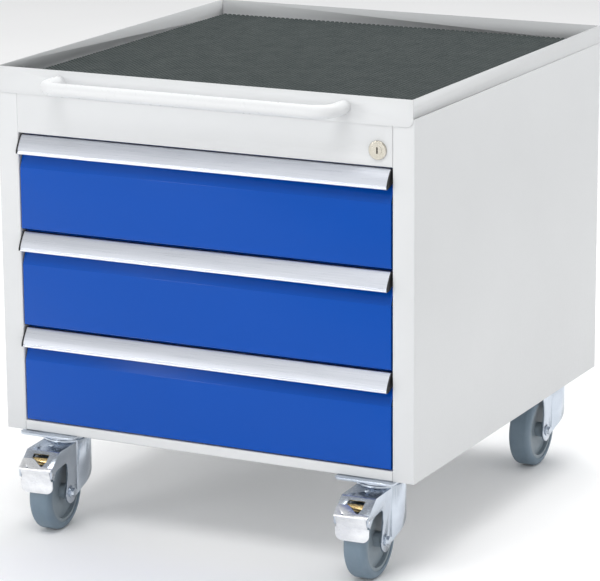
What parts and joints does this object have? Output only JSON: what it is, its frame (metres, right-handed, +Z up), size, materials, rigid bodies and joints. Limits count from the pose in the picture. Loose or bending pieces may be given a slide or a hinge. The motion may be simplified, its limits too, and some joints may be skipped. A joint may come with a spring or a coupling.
{
  "type": "mobile drawer cabinet",
  "caption": "Low steel drawer cabinet on swivel casters, with a lock, a push handle and a top tray lined with a studded mat.",
  "frame": {"origin": "on the floor, under the centre of the whole object's box at rest", "axes": "+X to the right of the drawer fronts, -Y the way the drawers open, +Z up"},
  "size_m": [0.58, 0.6712, 0.603],
  "materials": {
    "body_paint": "satin light grey powder coat",
    "handle_paint": "satin white powder coat",
    "drawer_paint": "satin blue powder coat",
    "box_paint": "satin light grey powder coat",
    "grip_aluminium": "anodised, brushed along its length",
    "black_plastic": "matt",
    "mat_rubber": "matt, studded",
    "zinc_steel": "bright zinc plating",
    "pedal_steel": "bright zinc plating",
    "slide_steel": "zinc plating",
    "lock_nickel": "satin nickel plating",
    "brass": "satin",
    "tyre_rubber": "matt thermoplastic rubber",
    "wheel_plastic": "moulded"
  },
  "bodies": {
    "cabinet": {"side_panel_left": "body_paint", "side_panel_right": "body_paint", "back_panel": "body_paint", "base_panel": "body_paint", "top_front_rail": "body_paint", "bottom_front_rail": "body_paint", "top_tray": "body_paint", "studded_mat": "mat_rubber", "push_handle": "handle_paint", "handle_screws": "zinc_steel", "slide_uprights": "zinc_steel", "cabinet_rails": "slide_steel", "lock_housing": "lock_nickel", "bar_guides": "zinc_steel", "caster_bolts": "zinc_steel", "caster_plate_front_left": "zinc_steel", "caster_plate_front_right": "zinc_steel", "caster_plate_rear_left": "zinc_steel", "caster_plate_rear_right": "zinc_steel"},
    "drawer_top": {"drawer_top_front": "drawer_paint", "drawer_top_grip": "grip_aluminium", "drawer_top_grip_caps": "black_plastic", "drawer_top_box": "box_paint", "drawer_top_inner_rails": "slide_steel"},
    "drawer_top_slides": {"drawer_top_mid_rails": "slide_steel"},
    "drawer_middle": {"drawer_middle_front": "drawer_paint", "drawer_middle_grip": "grip_aluminium", "drawer_middle_grip_caps": "black_plastic", "drawer_middle_box": "box_paint", "drawer_middle_inner_rails": "slide_steel"},
    "drawer_middle_slides": {"drawer_middle_mid_rails": "slide_steel"},
    "drawer_bottom": {"drawer_bottom_front": "drawer_paint", "drawer_bottom_grip": "grip_aluminium", "drawer_bottom_grip_caps": "black_plastic", "drawer_bottom_box": "box_paint", "drawer_bottom_inner_rails": "slide_steel"},
    "drawer_bottom_slides": {"drawer_bottom_mid_rails": "slide_steel"},
    "lock": {"lock_plug": "lock_nickel", "lock_cam": "zinc_steel"},
    "lock_bar": {"locking_bar": "zinc_steel"},
    "caster_front_left": {"fork_front_left": "zinc_steel", "axle_front_left": "zinc_steel", "brake_adjuster_front_left": "brass"},
    "wheel_front_left": {"wheel_core_front_left": "wheel_plastic", "tyre_front_left": "tyre_rubber"},
    "pedal_front_left": {"brake_pedal_front_left": "pedal_steel"},
    "caster_front_right": {"fork_front_right": "zinc_steel", "axle_front_right": "zinc_steel", "brake_adjuster_front_right": "brass"},
    "wheel_front_right": {"wheel_core_front_right": "wheel_plastic", "tyre_front_right": "tyre_rubber"},
    "pedal_front_right": {"brake_pedal_front_right": "pedal_steel"},
    "caster_rear_left": {"fork_rear_left": "zinc_steel", "axle_rear_left": "zinc_steel"},
    "wheel_rear_left": {"wheel_core_rear_left": "wheel_plastic", "tyre_rear_left": "tyre_rubber"},
    "caster_rear_right": {"fork_rear_right": "zinc_steel", "axle_rear_right": "zinc_steel"},
    "wheel_rear_right": {"wheel_core_rear_right": "wheel_plastic", "tyre_rear_right": "tyre_rubber"}
  },
  "joints": [
    {"name": "drawer_top_pull", "type": "slide", "parent": "cabinet", "child": "drawer_top", "axis": [0, -1, 0], "range_m": [0, 0.5]},
    {"name": "drawer_top_slides_extend", "type": "slide", "parent": "cabinet", "child": "drawer_top_slides", "axis": [0, -1, 0], "range_m": [0, 0.25]},
    {"name": "drawer_middle_pull", "type": "slide", "parent": "cabinet", "child": "drawer_middle", "axis": [0, -1, 0], "range_m": [0, 0.5]},
    {"name": "drawer_middle_slides_extend", "type": "slide", "parent": "cabinet", "child": "drawer_middle_slides", "axis": [0, -1, 0], "range_m": [0, 0.25]},
    {"name": "drawer_bottom_pull", "type": "slide", "parent": "cabinet", "child": "drawer_bottom", "axis": [0, -1, 0], "range_m": [0, 0.5]},
    {"name": "drawer_bottom_slides_extend", "type": "slide", "parent": "cabinet", "child": "drawer_bottom_slides", "axis": [0, -1, 0], "range_m": [0, 0.25]},
    {"name": "lock_turn", "type": "hinge", "parent": "cabinet", "child": "lock", "pos_m": [0.242, -0.2799, 0.539], "axis": [0, -1, 0], "range_deg": [0, 90.5]},
    {"name": "lock_bar_lift", "type": "slide", "parent": "cabinet", "child": "lock_bar", "axis": [0, 0, 1], "range_m": [0, 0.00905]},
    {"name": "swivel_front_left", "type": "hinge", "parent": "cabinet", "child": "caster_front_left", "pos_m": [-0.226, -0.2389, 0.115], "axis": [0, 0, 1], "continuous": true},
    {"name": "roll_front_left", "type": "hinge", "parent": "caster_front_left", "child": "wheel_front_left", "pos_m": [-0.22293, -0.27477, 0.05], "axis": [0.9963, 0.0854, 0], "continuous": true},
    {"name": "brake_front_left", "type": "hinge", "parent": "caster_front_left", "child": "pedal_front_left", "pos_m": [-0.2184, -0.32757, 0.088], "axis": [0.9963, 0.0854, 0], "range_deg": [0, 6]},
    {"name": "swivel_front_right", "type": "hinge", "parent": "cabinet", "child": "caster_front_right", "pos_m": [0.226, -0.2389, 0.115], "axis": [0, 0, 1], "continuous": true},
    {"name": "roll_front_right", "type": "hinge", "parent": "caster_front_right", "child": "wheel_front_right", "pos_m": [0.22726, -0.27488, 0.05], "axis": [0.9994, 0.0349, 0], "continuous": true},
    {"name": "brake_front_right", "type": "hinge", "parent": "caster_front_right", "child": "pedal_front_right", "pos_m": [0.22911, -0.32785, 0.088], "axis": [0.9994, 0.0349, 0], "range_deg": [0, 6]},
    {"name": "swivel_rear_left", "type": "hinge", "parent": "cabinet", "child": "caster_rear_left", "pos_m": [-0.226, 0.2831, 0.115], "axis": [0, 0, 1], "continuous": true},
    {"name": "roll_rear_left", "type": "hinge", "parent": "caster_rear_left", "child": "wheel_rear_left", "pos_m": [-0.226, 0.2471, 0.05], "axis": [1, 0, 0], "continuous": true},
    {"name": "swivel_rear_right", "type": "hinge", "parent": "cabinet", "child": "caster_rear_right", "pos_m": [0.226, 0.2831, 0.115], "axis": [0, 0, 1], "continuous": true},
    {"name": "roll_rear_right", "type": "hinge", "parent": "caster_rear_right", "child": "wheel_rear_right", "pos_m": [0.22631, 0.2471, 0.05], "axis": [1, 0.0087, 0], "continuous": true}
  ],
  "couplings": [
    {"joint": "drawer_top_slides_extend", "follows": "drawer_top_pull", "ratio": 0.5},
    {"joint": "drawer_middle_slides_extend", "follows": "drawer_middle_pull", "ratio": 0.5},
    {"joint": "drawer_bottom_slides_extend", "follows": "drawer_bottom_pull", "ratio": 0.5},
    {"joint": "lock_turn", "follows": "lock_bar_lift", "rad_per_m": 173.57}
  ]
}
